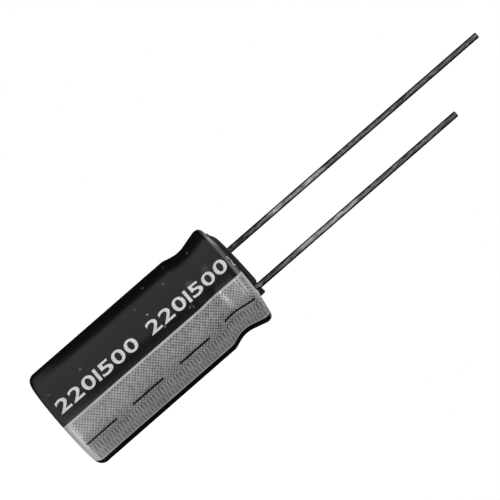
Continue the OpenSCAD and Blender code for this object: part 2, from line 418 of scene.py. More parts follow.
class Effects:
    """The node groups that several finishes share, each built once."""

    def __init__(self) -> None:
        """Builds the groups."""
        self.grain = self._grain()
        self.dust = self._dust()
        self.spot = self._spot()

    @staticmethod
    def _start(name: str, inputs: dict[str, float], outputs: list[str]
               ) -> tuple[Wiring, bpy_prop_collection, bpy_prop_collection]:
        """An empty group with a Vector input, number inputs and number outputs.

        Args:
            name: the group's name.
            inputs: each number input and its value when nothing is given.
            outputs: the name of each number that the group puts out.

        Returns:
            The wiring, the sockets inside for the inputs, and those for the outputs.
        """
        tree = bpy.data.node_groups.new(name, "ShaderNodeTree")
        tree.interface.new_socket("Vector", in_out="INPUT", socket_type="NodeSocketVector")
        for key, value in inputs.items():
            made = tree.interface.new_socket(key, in_out="INPUT", socket_type="NodeSocketFloat")
            made.default_value = value
        for key in outputs:
            tree.interface.new_socket(key, in_out="OUTPUT", socket_type="NodeSocketFloat")
        wiring = Wiring(tree)
        entry, leave = tree.nodes.new("NodeGroupInput"), tree.nodes.new("NodeGroupOutput")
        return wiring, entry.outputs, leave.inputs

    def _grain(self) -> NodeTree:
        """Fine grain: noise at a size in millimetres, as a height and a soft variation.

        Returns:
            The group.
        """
        asked = {"Size": 0.2, "Spread": 3.0}
        w, given, out = self._start("fine_grain", asked, ["Height", "Variation"])
        scale = w.math("DIVIDE", 1 / MM, given["Size"])
        fine = w.add("ShaderNodeTexNoise", Vector=given["Vector"], Scale=scale, Detail=2.0)
        broad = w.add("ShaderNodeTexNoise", Vector=given["Vector"],
                      Scale=w.math("DIVIDE", scale, given["Spread"]), Detail=1.0)
        w.feed(out["Height"], fine.outputs["Fac"])
        w.feed(out["Variation"], broad.outputs["Fac"])
        return w.tree

    def _dust(self) -> NodeTree:
        """Dust: one small speck in a few of the cells of a Voronoi pattern, as a mask.

        Returns:
            The group.
        """
        asked = {"Cell": 2.0, "Speck": 0.06, "Share": 0.3}
        w, given, out = self._start("dust_specks", asked, ["Mask"])
        scale = w.math("DIVIDE", 1 / MM, given["Cell"])
        cells = w.add("ShaderNodeTexVoronoi", Vector=given["Vector"], Scale=scale)
        pick = w.add("ShaderNodeTexWhiteNoise", Vector=cells.outputs["Position"])
        near = w.math("MULTIPLY", cells.outputs["Distance"], given["Cell"])
        speck = w.math("SUBTRACT", 1.0, w.math("DIVIDE", near, given["Speck"]))
        chosen = w.math("LESS_THAN", pick.outputs["Value"], given["Share"])
        w.feed(out["Mask"], w.math("MULTIPLY", w.math("MAXIMUM", speck, 0.0), chosen))
        return w.tree

    def _spot(self) -> NodeTree:
        """One soft spot: 1 at a chosen place of a UV map, and 0 from the given size outwards.

        Returns:
            The group.
        """
        asked = {"Across": 0.0, "Along": 0.0, "Size": 0.2}
        w, given, out = self._start("soft_spot", asked, ["Mask"])
        flat = w.split(given["Vector"])
        across = w.math("SUBTRACT", flat["X"], given["Across"])
        along = w.math("SUBTRACT", flat["Y"], given["Along"])
        squared = w.math("MULTIPLY_ADD", across, across, w.math("MULTIPLY", along, along))
        apart = w.math("SQRT", squared)
        w.feed(out["Mask"], w.steps(w.math("DIVIDE", apart, given["Size"]), 0.0, 1.0, 1.0, 0.0))
        return w.tree


EFFECTS = Effects()


@dataclass(frozen=True)
class Finish:
    """What every finish has: a name and the plain values of its Principled shader."""

    name: str
    roughness: float = 0.5
    metallic: float = 0.0
    specular: float = 0.5
    coat: float = 0.0
    coat_roughness: float = 0.1

    def build(self) -> Material:
        """Makes the material, with its plain values first and then what paint() wires.

        Returns:
            The new material.
        """
        w = Paint(self.name)
        for key, value in (("Roughness", self.roughness), ("Metallic", self.metallic),
                           ("Specular IOR Level", self.specular), ("Coat Weight", self.coat),
                           ("Coat Roughness", self.coat_roughness)):
            w.put(key, value)
        self.paint(w)
        return w.material

    def paint(self, w: Paint) -> None:
        """Wires what varies over the surface, which is the task of each kind of finish."""
        raise NotImplementedError

    def vary(self, w: Paint, value: object, low: float, high: float, spread: float) -> None:
        """Lets the roughness go from a spread below its level to one above, as a value rises."""
        rough = w.steps(value, low, high, self.roughness - spread, self.roughness + spread)
        w.put("Roughness", rough)


@dataclass(frozen=True)
class PlainFinish(Finish):
    """One grey level all over."""

    level: float = 0.5

    def paint(self, w: Paint) -> None:
        """Sets the colour."""
        w.put("Base Color", grey(self.level))


@dataclass(frozen=True)
class FloorFinish(PlainFinish):
    """The floor: mostly white light of its own where it is seen, so that its shadow is faint."""

    glow: float = 1.12
    share: float = 0.86

    def paint(self, w: Paint) -> None:
        """Mixes the pale surface with a glow that only rays with a view of the floor meet.

        Args:
            w: the material's wiring.
        """
        super().paint(w)
        glow = w.add("ShaderNodeEmission", Color=grey(1.0), Strength=self.glow)
        both = w.add("ShaderNodeMixShader")
        parts = (w.math("MULTIPLY", w.seen(), self.share), w.shader.outputs["BSDF"],
                 glow.outputs["Emission"])
        for into, part in zip(both.inputs, parts, strict=True):
            w.feed(into, part)
        w.feed(w.tree.nodes["Material Output"].inputs["Surface"], both.outputs[0])


@dataclass(frozen=True)
class Speck:
    """A spot on the sleeve, by its place round and along the can: a speck of dust, a soft mark or a
    painted highlight.
    """

    turn_deg: float
    height: float
    size: float
    level: float


@dataclass(frozen=True)
class FilmFinish(Finish):
    """Shrunk plastic film: a dark body under a soft gloss that dies away at the edges."""

    level: float = 0.004
    dust_level: float = 0.12
    # The level of the painted sheen on the film over the rim.
    lip_sheen_level: float = 0.14
    lip_from: float = 20.42
    lip_to: float = 20.68
    lip_least: float = 0.35
    gloss_from: float = 0.25
    gloss_to: float = 0.75
    # A painted highlight: a lighter patch on the far side of the lip, where a grazing reflection
    # falls.
    lip_highlight: Speck = Speck(-104.0, 21.2, 1.3, 0.34)
    # Dust specks and soft marks; the two wide faint ones at -79.7 and -80.8 degrees are painted
    # highlights in the groove.
    specks_and_glints: tuple[Speck, ...] = tuple(Speck(*values) for values in (
        (-87.0, 4.5, 0.24, 0.09), (-83.9, 12.1, 0.16, 0.3), (-99.5, 14.9, 0.2, 0.11),
        (-116.2, 13.3, 0.2, 0.1), (-98.3, 11.5, 0.18, 0.08), (-121.3, 15.9, 0.16, 0.1),
        (-115.5, 18.4, 0.2, 0.12), (-88.8, 0.9, 0.2, 0.06), (-62.5, 12.6, 0.13, 0.2),
        (-79.7, 16.7, 0.6, 0.035), (-80.8, 18.6, 0.5, 0.04), (-60.7, 15.35, 0.14, 0.16),
        (-58.7, 15.65, 0.13, 0.12), (-61.2, 15.6, 0.1, 0.1)))

    @staticmethod
    def mask(w: Wiring, flat: NodeSocket, speck: Speck) -> NodeSocket:
        """Where a speck lies on the UV map, whose X is the way round the can from +X.

        Args:
            w: the material's wiring.
            flat: the piece's UV map.
            speck: the speck.

        Returns:
            The mask's socket.
        """
        around = math.radians(speck.turn_deg % 360) * BODY.skin_r / MM
        return w.group(EFFECTS.spot, Vector=flat, Across=around, Along=speck.height,
                       Size=speck.size).outputs["Mask"]

    def paint(self, w: Paint) -> None:
        """Wires the film. The piece's UV map gives the way along the wall, in millimetres.

        Where the film is drawn in over the rim it is painted lighter, unevenly, as a painted sheen,
        and one patch of it more, as a painted highlight.

        Args:
            w: the material's wiring.
        """
        place, flat = w.place(), w.flat()
        grain = w.group(EFFECTS.grain, Vector=place, Size=0.9, Spread=4.0).outputs
        dust = w.group(EFFECTS.dust, Vector=place, Cell=2.4, Speck=0.085, Share=0.22)
        tone = w.mottled(grain["Variation"], self.level, low=0.7, high=1.4)
        # Painted sheen: the film over the rim is painted lighter, in patches.
        drawn = w.steps(w.split(flat)["Y"], self.lip_from, self.lip_to)
        patchy = w.steps(grain["Variation"], 0.3, 0.7, self.lip_least, 1.0)
        # The painted highlight on the lip, laid over the painted sheen.
        spot = self.lip_highlight
        bright = w.mix(self.mask(w, flat, spot), grey(self.lip_sheen_level), grey(spot.level))
        tone = w.mix(w.math("MULTIPLY", drawn, patchy), tone, bright)
        # Specks and soft marks, and the two painted highlights among them.
        for speck in self.specks_and_glints:
            tone = w.mix(self.mask(w, flat, speck), tone, grey(speck.level))
        w.put("Base Color", w.mix(dust.outputs["Mask"], tone, grey(self.dust_level)))
        gloss = w.steps(w.facing(), self.gloss_from, self.gloss_to, self.coat, 0.0)
        w.put("Coat Weight", gloss)
        self.vary(w, grain["Variation"], 0.3, 0.7, spread=0.05)
        w.relief(grain["Height"], depth_mm=0.004)


@dataclass(frozen=True)
class ScreenFinish(Finish):
    """Printed ink: a fine diamond screen of dark dots, with a solid border on both long edges.

    The piece's UV map gives the way round the can and the way along it, in millimetres.
    """

    light: float = 0.255
    dark: float = 0.06
    dark_far: float = 0.13
    border: float = 0.385
    pitch: float = 0.365
    pitch_along: float = 0.342
    border_width: float = 0.2
    border_soft: float = 0.2
    half_width: float = 2.77
    screen_from: float = 0.65
    screen_to: float = 20.85
    # The ink on the lip is painted lighter: a painted highlight.
    lip: float = 0.65
    lip_from: float = 21.1
    lip_over: float = 0.3
    # A thin light line painted just under the rim's corner, on the near half of the stripe: a
    # painted highlight.
    glint_line: float = 20.27
    glint_line_half: float = 0.1
    glint_line_soft: float = 0.05
    glint_line_fades: float = -1.6
    glint_line_ends: float = -0.5
    drawn_from: float = 0.4
    drawn_over: float = 0.8
    drawn_share: float = 0.15
    waver: float = 1.6
    waver_far: float = 2.8
    dots_from: float = -0.9
    dots_to: float = 1.1
    uneven: float = 0.6
    worn_low: float = 0.82
    worn_high: float = 1.12

    def paint(self, w: Paint) -> None:
        """Wires the screen of dots, its border and the wear.

        The dots lie where two waves crossed at about 45 degrees to the can are both high, so that
        their rows are shifted by half a pitch from one to the next. Past the middle of the stripe
        the dots are weaker, less even and drawn out round the can, by the share of the pitch that
        the wave keeps there. Just under the rim's corner a thin light line is painted, a painted
        highlight, and the ink on the lip is painted lighter, a painted highlight too.

        Args:
            w: the material's wiring.
        """
        flat = w.split(w.flat())
        across, along = flat["X"], flat["Y"]
        past = w.math("MAXIMUM", w.math("SUBTRACT", across, self.drawn_from), 0.0)
        bent = w.math("SUBTRACT", across, w.math("MULTIPLY", past, 1.0 - self.drawn_share))
        side = w.math("MULTIPLY", bent, 2 * math.pi / self.pitch)
        grain = w.group(EFFECTS.grain, Vector=w.place(), Size=0.35, Spread=5.0).outputs
        way = w.math("MULTIPLY", along, 2 * math.pi / self.pitch_along)
        far = w.steps(across, self.drawn_from, self.drawn_from + self.drawn_over)
        waver = w.steps(far, 0.0, 1.0, self.waver, self.waver_far)
        way = w.math("ADD", way, w.math("MULTIPLY", grain["Height"], waver))
        wave_a = w.math("SINE", w.math("ADD", side, way))
        wave_b = w.math("SINE", w.math("SUBTRACT", side, way))
        uneven = w.steps(grain["Height"], 0.3, 0.7, -self.uneven, self.uneven)
        both = w.math("ADD", w.math("ADD", wave_a, wave_b), uneven)
        dots = w.steps(both, self.dots_from, self.dots_to)
        dark = w.mix(far, grey(self.dark), grey(self.dark_far))
        tone = w.mix(dots, grey(self.light), dark)
        from_side = w.math("SUBTRACT", self.half_width, w.math("ABSOLUTE", across))
        from_ends = w.math("MINIMUM", w.math("SUBTRACT", along, self.screen_from),
                           w.math("SUBTRACT", self.screen_to, along))
        inside = w.math("MINIMUM", from_side, w.math("ADD", from_ends, self.border_width))
        edge = w.steps(inside, self.border_width * (1 - self.border_soft),
                       self.border_width * (1 + self.border_soft), 1.0, 0.0)
        # The painted highlight: a thin light line just under the rim's corner.
        off_glint_line = w.math("ABSOLUTE", w.math("SUBTRACT", along, self.glint_line))
        near_side = w.steps(across, self.glint_line_fades, self.glint_line_ends, 1.0, 0.0)
        line = w.steps(off_glint_line, self.glint_line_half - self.glint_line_soft,
                       self.glint_line_half + self.glint_line_soft, 1.0, 0.0)
        glint_line = w.math("MULTIPLY", line, near_side)
        worn = w.steps(grain["Variation"], 0.2, 0.8, self.worn_low, self.worn_high)
        toned = w.mix(w.math("MAXIMUM", edge, glint_line), tone, grey(self.border))
        # On the lip the ink is painted lighter, as a painted highlight.
        on_lip = w.steps(along, self.lip_from, self.lip_from + self.lip_over)
        toned = w.mix(on_lip, toned, grey(self.lip))
        w.put("Base Color", w.scaled(toned, worn))
        w.relief(dots, depth_mm=0.003)


@dataclass(frozen=True)
class InkFinish(Finish):
    """Plain light ink with the slight unevenness of a print on film."""

    level: float = 0.62

    def paint(self, w: Paint) -> None:
        """Wires the grain into the colour.

        Args:
            w: the material's wiring.
        """
        grain = w.group(EFFECTS.grain, Vector=w.place(), Size=0.14, Spread=3.0).outputs
        thin = w.steps(grain["Height"], 0.25, 0.75)
        w.put("Base Color", w.mottled(thin, self.level, low=0.75, high=1.1))


@dataclass(frozen=True)
class RubberFinish(Finish):
    """Moulded black rubber, matt, with a fine skin."""

    level: float = 0.012
    dust_level: float = 0.1

    def paint(self, w: Paint) -> None:
        """Wires the grain into colour, roughness and relief.

        Args:
            w: the material's wiring.
        """
        place = w.place()
        grain = w.group(EFFECTS.grain, Vector=place, Size=0.12, Spread=6.0).outputs
        dust = w.group(EFFECTS.dust, Vector=place, Cell=1.6, Speck=0.07, Share=0.2)
        tone = w.mottled(grain["Variation"], self.level, low=0.6, high=1.6)
        w.put("Base Color", w.mix(dust.outputs["Mask"], tone, grey(self.dust_level)))
        self.vary(w, grain["Variation"], 0.3, 0.7, spread=0.08)
        w.relief(grain["Height"], depth_mm=0.012)


@dataclass(frozen=True)
class TinFinish(Finish):
    """Dull tinned wire: mottled grey metal with fine drawing marks along it."""

    light: float = 0.235
    dark: float = 0.04
    # From foot_from the foot is painted lighter, as painted light; below foot_to the wire is
    # darker.
    foot_from: float = 21.4
    foot_to: float = 24.5
    # A painted highlight: the wire is painted lighter over a middle stretch, where a glint falls.
    streak_glint_from: float = 27.2
    streak_glint_to: float = 32.8
    slow: float = 1.5
    quick: float = 0.5
    # The level of the darker stretch above the seal.
    lower_level: float = 0.5
    plain: float = 0.9
    # How much lighter the foot is painted, as painted light.
    foot: float = 1.0
    streak_glint: float = 1.3
    # Painted shade: the metal is painted darker towards its outline, by the angle at which it is
    # seen.
    edge_shade_from: float = 0.02
    edge_shade_to: float = 0.3
    edge_shade_share: float = 0.03
    tint: float = 0.1

    def paint(self, w: Paint) -> None:
        """Wires the mottled metal.

        The metal is painted darker towards its sides, a painted shade set by the angle at which it
        is seen. It is darker over a stretch above the seal, painted lighter at the foot as painted
        light, and painted lighter over a middle stretch as a painted highlight.

        Args:
            w: the material's wiring.
        """
        w.put("Specular Tint", grey(self.tint))
        place = w.place()
        up = w.math("MULTIPLY", w.split(place)["Z"], 1 / MM)
        # The painted highlight over a middle stretch of the wire.
        streak_glint = w.math("MULTIPLY", w.steps(up, self.streak_glint_from - self.slow, self.streak_glint_from),
                        w.steps(up, self.streak_glint_to, self.streak_glint_to + self.quick,
                                self.streak_glint, 0.0))
        # Darker over a stretch above the seal, with the foot painted lighter as painted light.
        lower_level = w.math("ADD", w.steps(up, self.foot_to - self.slow, self.foot_to,
                                     self.lower_level, self.plain),
                      w.steps(up, self.foot_from, self.foot_from + self.quick, self.foot, 0.0))
        drawn = w.stretched(place, (1.0, 1.0, 0.25))
        grain = w.group(EFFECTS.grain, Vector=drawn, Size=0.16, Spread=4.0).outputs
        mottled = w.mix(w.steps(grain["Height"], 0.3, 0.7), grey(self.dark), grey(self.light))
        broad = w.steps(grain["Variation"], 0.25, 0.75, 0.75, 1.2)
        # Painted shade at the wire's sides, by the angle at which they are seen.
        side = w.steps(w.facing(), self.edge_shade_from, self.edge_shade_to, 1.0, self.edge_shade_share)
        shade = w.math("MULTIPLY", w.math("MULTIPLY", broad, side), w.math("ADD", lower_level, streak_glint))
        w.put("Base Color", w.scaled(mottled, shade))
        self.vary(w, grain["Height"], 0.2, 0.8, spread=-0.1)
        w.relief(grain["Height"], depth_mm=0.006)


@dataclass(frozen=True)
class SheetFinish(Finish):
    """Aluminium sheet or paper: one tone with fine streaks in a chosen direction."""

    colour: tuple[float, float, float] = (0.75, 0.76, 0.78)
    stretch: tuple[float, float, float] = (1.0, 1.0, 1.0)
    grain_mm: float = 0.2
    depth_mm: float = 0.004
    contrast: float = 0.15

    def paint(self, w: Paint) -> None:
        """Wires the grain into colour, roughness and relief.

        Args:
            w: the material's wiring.
        """
        streaked = w.stretched(w.place(), self.stretch)
        grain = w.group(EFFECTS.grain, Vector=streaked, Size=self.grain_mm, Spread=5.0).outputs
        low = tuple(c * (1 - self.contrast) for c in self.colour) + (1.0,)
        high = tuple(min(1.0, c * (1 + self.contrast)) for c in self.colour) + (1.0,)
        w.put("Base Color", w.mix(grain["Height"], low, high))
        self.vary(w, grain["Variation"], 0.2, 0.8, spread=0.07)
        w.relief(grain["Height"], self.depth_mm)


@dataclass
class ViewFrame:
    """The photograph's view: where the camera stands round the can, and how it is rolled."""

    azimuth_deg: float = 33.8
    elevation_deg: float = -2.9
    roll_deg: float = 48.97
    lens: float = 150.0
    sensor: float = 36.0
    width: float = 45.3 * MM
    aim_height: float = 22.92 * MM
    aim_across: float = -0.76 * MM

    @property
    def across(self) -> Vector:
        """The level direction that the photograph shows running down and to the right."""
        a = math.radians(self.azimuth_deg)
        return Vector((math.cos(a), math.sin(a), 0.0))

    @property
    def towards(self) -> Vector:
        """The level direction from the can to the camera."""
        a = math.radians(self.azimuth_deg)
        return Vector((math.sin(a), -math.cos(a), 0.0))

    def direction(self, turn_deg: float, rise_deg: float) -> Vector:
        """A direction by its turn from the camera's side towards `across`, and its rise.

        Args:
            turn_deg: the turn round the object's axis.
            rise_deg: the rise over the level.

        Returns:
            A unit vector.
        """
        t, r = math.radians(turn_deg), math.radians(rise_deg)
        level = self.towards * math.cos(t) + self.across * math.sin(t)
        return level * math.cos(r) + Vector((0.0, 0.0, math.sin(r)))

    def make_camera(self) -> Object:
        """Creates the camera and makes it the scene's.

        Returns:
            The camera.
        """
        data = bpy.data.cameras.new("camera")
        data.lens, data.sensor_width = self.lens, self.sensor
        data.clip_start, data.clip_end = 0.01, 6.0
        back = self.direction(0.0, self.elevation_deg)
        level_up = back.cross(self.across)
        roll = math.radians(self.roll_deg)
        up = level_up * math.cos(roll) - self.across * math.sin(roll)
        right = level_up * math.sin(roll) + self.across * math.cos(roll)
        aim = self.across * self.aim_across + Vector((0.0, 0.0, self.aim_height))
        spot = aim + back * (self.width * self.lens / self.sensor)
        camera = linked("camera", data)
        turned = Matrix((right, up, back)).transposed().to_4x4()
        camera.matrix_world = Matrix.Translation(spot) @ turned
        bpy.context.scene.camera = camera
        return camera


VIEW = ViewFrame()


@dataclass
class Body:
    """The outline that the sleeve, the stripe and the print share, as the CAD model has it."""

    skin_r: float = 5.17 * MM
    rim_r: float = 5.29 * MM
    height: float = 20.9 * MM
    corner: float = 0.8 * MM
    bead_drop: float = 3.15 * MM
    bead_fillet: float = 2.8 * MM
    bead_below: float = 1.6 * MM
    bead_above: float = 2.18 * MM
    bead_corner: float = 0.5 * MM
    dip: float = 0.474 * MM
    thickness: float = 0.15 * MM
    end_hole_r: float = 3.8 * MM
    top_hole_r: float = 3.5 * MM
    rim_fall: float = 0.3 * MM
    rim_corner: float = 0.53 * MM
    lean: float = -0.07 * MM
    lean_from: float = 15.5 * MM
    lean_to: float = 17.5 * MM
    droop: float = -0.017
    droop_from: float = 18.5 * MM
    droop_to: float = 20.2 * MM

    def outline(self) -> np.ndarray:
        """The sleeve's outside as (radius, height) points, from the closed end's hole to the rim's.

        Returns:
            An (n, 2) array, outwards on the right of its way.
        """
        bead = self.height - self.bead_drop
        return rounded_path([
            (self.end_hole_r, 0.0),
            (self.skin_r, 0.0, self.corner),
            (self.skin_r, bead - self.bead_below, self.bead_corner),
            (self.skin_r - self.dip, bead, self.bead_fillet),
            (self.rim_r, bead + self.bead_above, self.bead_corner),
            (self.rim_r, self.height - self.rim_fall, self.rim_corner),
            (self.top_hole_r, self.height),
        ])

    def surface(self, angle: np.ndarray, along: np.ndarray, out: float) -> np.ndarray:
        """Points on the sleeve: the outline's point at a length along it, turned about Z.

        Args:
            angle: radians from +X, any shape.
            along: length along the outline, of the same shape.
            out: how far the points stand off the surface.

        Returns:
            An array of the given shape with x, y and z added as its last axis.
        """
        path = self.outline()
        walked, normal = path_lengths(path), path_normals(path)
        r = np.interp(along, walked, path[:, 0]) + out * np.interp(along, walked, normal[:, 0])
        z = np.interp(along, walked, path[:, 1]) + out * np.interp(along, walked, normal[:, 1])
        return ringed(r, angle, z)

    def along_at(self, height: float) -> float:
        """The length along the outline at which its side wall reaches a height.

        Args:
            height: metres over the closed end's plane.

        Returns:
            Metres along the outline.
        """
        path = self.outline()
        side = path[:, 0] > self.skin_r - self.corner - 0.1 * MM
        return float(np.interp(height, path[side, 1], path_lengths(path)[side]))

    def wall_offset(self) -> float:
        """How much longer the way along the outline is than the height, on the straight wall."""
        return self.along_at(self.corner) - self.corner


    def settled(self, points: np.ndarray) -> np.ndarray:
        """Points of the sleeve and its print, with the slight lean of the can's rolled end.

        From the bead upwards a point is shifted sideways, against the view's `across`, and over
        the bead it also drops in proportion to how far it lies towards `across`.

        Args:
            points: an array of points, in metres.

        Returns:
            The moved points.
        """
        across = np.array(VIEW.across)
        side = points @ across
        shift = self.lean * faded(points[..., 2], self.lean_from, self.lean_to)
        drop = self.droop * side * faded(points[..., 2], self.droop_from, self.droop_to)
        return points + shift[..., None] * across + drop[..., None] * np.array([0.0, 0.0, 1.0])


BODY = Body()


@dataclass
class Sleeve:
    """The shrunk sleeve: a thin wall round the can, with a slightly puckered lip over each end."""

    finish: FilmFinish = FilmFinish("sleeve_film", 0.55, specular=0.0, coat=0.6,
                                    coat_roughness=0.24)
    segments: int = 288
    pucker: float = 0.035 * MM
    pucker_over: float = 0.9 * MM
    pucker_power: float = 1.5

    def build(self) -> Object:
        """A revolve: the wall's closed outline is turned about Z, and its lips wave in and out.

        The radius at a lip gets a sum of three cosines of the angle, faded in towards the lip.

        Returns:
            The piece.
        """
        path = BODY.outline()
        inner = path - BODY.thickness * path_normals(path)
        loop = np.concatenate([path, inner[::-1]])
        angle = np.linspace(0, 2 * np.pi, self.segments, endpoint=False)[:, None]
        walked = path_lengths(path)
        from_lip = np.minimum(walked, walked[-1] - walked)
        edge = np.clip(1 - from_lip / self.pucker_over, 0, 1) ** self.pucker_power
        fade = np.concatenate([edge, edge[::-1]])[None]
        wave = np.cos(5 * angle + 0.7) + 0.6 * np.cos(11 * angle + 2.1) + 0.35 * np.cos(23 * angle)
        r = loop[None, :, 0] + self.pucker * wave * fade
        points = ringed(r, angle, loop[None, :, 1]).reshape(-1, 3)
        quads = turned_out(points, grid_quads(self.segments, len(loop), True, True))
        along = np.concatenate([walked, walked[::-1]]) - BODY.wall_offset()
        around = np.arange(self.segments)[:, None] * 2 * np.pi * BODY.skin_r / self.segments
        uv = np.stack(np.broadcast_arrays(around, along[None]), axis=-1).reshape(-1, 2) / MM
        piece = mesh_object("sleeve_skin", BODY.settled(points), quads.tolist(), uv)
        dress(piece, self.finish.build(), Slot.FILM, "sleeve")
        return piece


@dataclass
class Stripe:
    """The printed polarity stripe, with its minus signs left open down to the film."""

    finish: ScreenFinish = ScreenFinish("stripe_ink", roughness=0.5, specular=0.3, coat=0.6,
                                        coat_roughness=0.2)
    middle_deg: float = -22.6
    width_deg: float = 61.5
    ink: float = 0.02 * MM
    minus_width: float = 0.23 * MM
    minus_turn_deg: float = -1.5
    minus_length: float = 3.5 * MM
    minus_pitch: float = 5.42 * MM
    minus_start: float = 0.6 * MM
    minus_count: int = 4
    half_lines: int = 34
    lines_along: int = 220
    start: float = 0.04 * MM
    short_of_lip: float = 0.05 * MM

    def build(self) -> Object:
        """A patch of the sleeve's surface on a grid of angles and lengths, thickened by a modifier.

        The grid has lines on both sides and at both ends of every minus sign, and the cells between
        them are left out.

        Returns:
            The piece.
        """
        half = math.radians(self.width_deg / 2)
        gap = self.minus_width / 2 / BODY.skin_r
        off = math.radians(self.minus_turn_deg)
        across = np.concatenate([np.linspace(-half, off - gap, self.half_lines),
                                 np.linspace(off + gap, half, self.half_lines)])
        heights = self.minus_start + self.minus_pitch * np.arange(self.minus_count)
        signs = [(low, low + self.minus_length) for low in map(BODY.along_at, heights)]
        end = path_lengths(BODY.outline())[-1] - self.short_of_lip
        evenly = np.linspace(BODY.along_at(self.start), end, self.lines_along)
        along = np.unique(np.concatenate([evenly, np.ravel(signs)]))
        middle = math.radians(self.middle_deg)
        a, s = np.meshgrid(across, along, indexing="ij")
        points = BODY.surface(a + middle, s, self.ink).reshape(-1, 3)
        cell = grid_quads(len(across), len(along), False, False)
        cell_s = (s[:-1, :-1] + s[1:, 1:]).ravel() / 2
        cell_a = (a[:-1, :-1] + a[1:, 1:]).ravel() / 2 - off
        open_cell = np.zeros(len(cell), bool)
        for low, high in signs:
            open_cell |= (np.abs(cell_a) < gap) & (cell_s > low) & (cell_s < high)
        height = s - BODY.wall_offset()
        uv = np.column_stack([(a * BODY.skin_r).ravel(), height.ravel()]) / MM
        piece = mesh_object("stripe_print", BODY.settled(points), cell[~open_cell].tolist(), uv)
        thicken(piece, self.ink)
        dress(piece, self.finish.build(), Slot.INK, "polarity_stripe")
        return piece


@dataclass
class Figures:
    """Plain figures printed along the can in light ink, one run after the other.

    The runs are cut off at the sleeve's edge, as on a film that was printed before it was cut.
    """

    finish: InkFinish = InkFinish("figure_ink", roughness=0.5, specular=0.3, coat=0.5,
                                  coat_roughness=0.25)
    figures: str = "2201500"
    starts: tuple[float, ...] = (0.75 * MM, 11.25 * MM, 21.0 * MM)
    middle_deg: float = -70.75
    height: float = 1.25 * MM
    width: float = 1.26 * MM
    spacing: float = 0.21 * MM
    share_of_one: float = 0.24
    boldness: float = 0.015
    cell: float = 0.1 * MM
    ink: float = 0.018 * MM
    joins_within: float = 0.002 * MM
    short_of_lip: float = 0.04 * MM

    def width_of(self, sign: str) -> float:
        """The width of a figure: a 1 keeps only a share of it."""
        return self.width * (self.share_of_one if sign == "1" else 1.0)

    def flat_figure(self, sign: str) -> BMesh:
        """One figure in the plane, stretched to its width and height, from its lower left corner.

        The built-in font's outline is made bolder and filled, and then scaled so that its own box
        becomes the wanted one.

        Args:
            sign: the figure's character.

        Returns:
            Its flat faces.
        """
        outline = bpy.data.curves.new("figure", "FONT")
        outline.body, outline.offset, outline.resolution_u = sign, self.boldness, 8
        text = bpy.data.objects.new("figure", outline)
        mesh = bpy.data.meshes.new_from_object(text)
        flat = np.empty(len(mesh.vertices) * 3)
        mesh.vertices.foreach_get("co", flat)
        flat = flat.reshape(-1, 3)
        low, high = flat.min(axis=0), flat.max(axis=0)
        flat = (flat - low) / np.maximum(high - low, 1e-9) * [self.width_of(sign), self.height, 0.0]
        mesh.vertices.foreach_set("co", flat.ravel())
        cut = bmesh.new()
        cut.from_mesh(mesh)
        bmesh.ops.remove_doubles(cut, verts=cut.verts, dist=self.joins_within)
        bpy.data.objects.remove(text)
        bpy.data.curves.remove(outline)
        bpy.data.meshes.remove(mesh)
        return cut

    def diced(self, cut: BMesh) -> None:
        """Cuts a flat figure into cells along and across, so that it can bend round the can.

        Args:
            cut: the flat figure, changed in place.
        """
        for axis, reach in ((0, self.width), (1, self.height)):
            normal = [0.0, 0.0, 0.0]
            normal[axis] = 1.0
            for level in np.arange(self.cell, reach, self.cell):
                cut_level(cut, [value * float(level) for value in normal], normal)
        bmesh.ops.triangulate(cut, faces=cut.faces)

    def build(self) -> Object:
        """Lays every figure on the sleeve: x runs along the outline, and y round the can.

        The angle at a height y in a figure is the middle's angle less y, taken from the figure's
        own middle, over the radius.

        Returns:
            The piece.
        """
        end = path_lengths(BODY.outline())[-1] - self.short_of_lip
        shapes = {}
        for sign in sorted(set(self.figures)):
            cut = self.flat_figure(sign)
            self.diced(cut)
            flat = np.array([v.co[:2] for v in cut.verts])
            shapes[sign] = flat, np.array([[v.index for v in f.verts] for f in cut.faces])
            cut.free()
        points, faces, base = [], [], 0
        for start in self.starts:
            pen = BODY.wall_offset() + start
            for sign in self.figures:
                flat, corners = shapes[sign]
                keep = (flat[corners, 0] + pen).max(axis=1) < end
                angle = math.radians(self.middle_deg) - (flat[:, 1] - self.height / 2) / BODY.skin_r
                points.append(BODY.surface(angle, np.minimum(pen + flat[:, 0], end), self.ink))
                faces.append(corners[keep] + base)
                base += len(flat)
                pen += self.width_of(sign) + self.spacing
        spots, corners = np.concatenate(points), np.concatenate(faces)
        used, renamed = np.unique(corners, return_inverse=True)
        spots, corners = spots[used], renamed.reshape(-1, 3)
        a, b, c = (spots[corners[:, k]] for k in range(3))
        away = np.einsum("ij,ij->i", np.cross(b - a, c - a)[:, :2], a[:, :2]) < 0
        corners[away] = corners[away, ::-1]
        piece = mesh_object("rating_figures", BODY.settled(spots), corners.tolist())
        thicken(piece, self.ink)
        dress(piece, self.finish.build(), Slot.INK)
        return piece


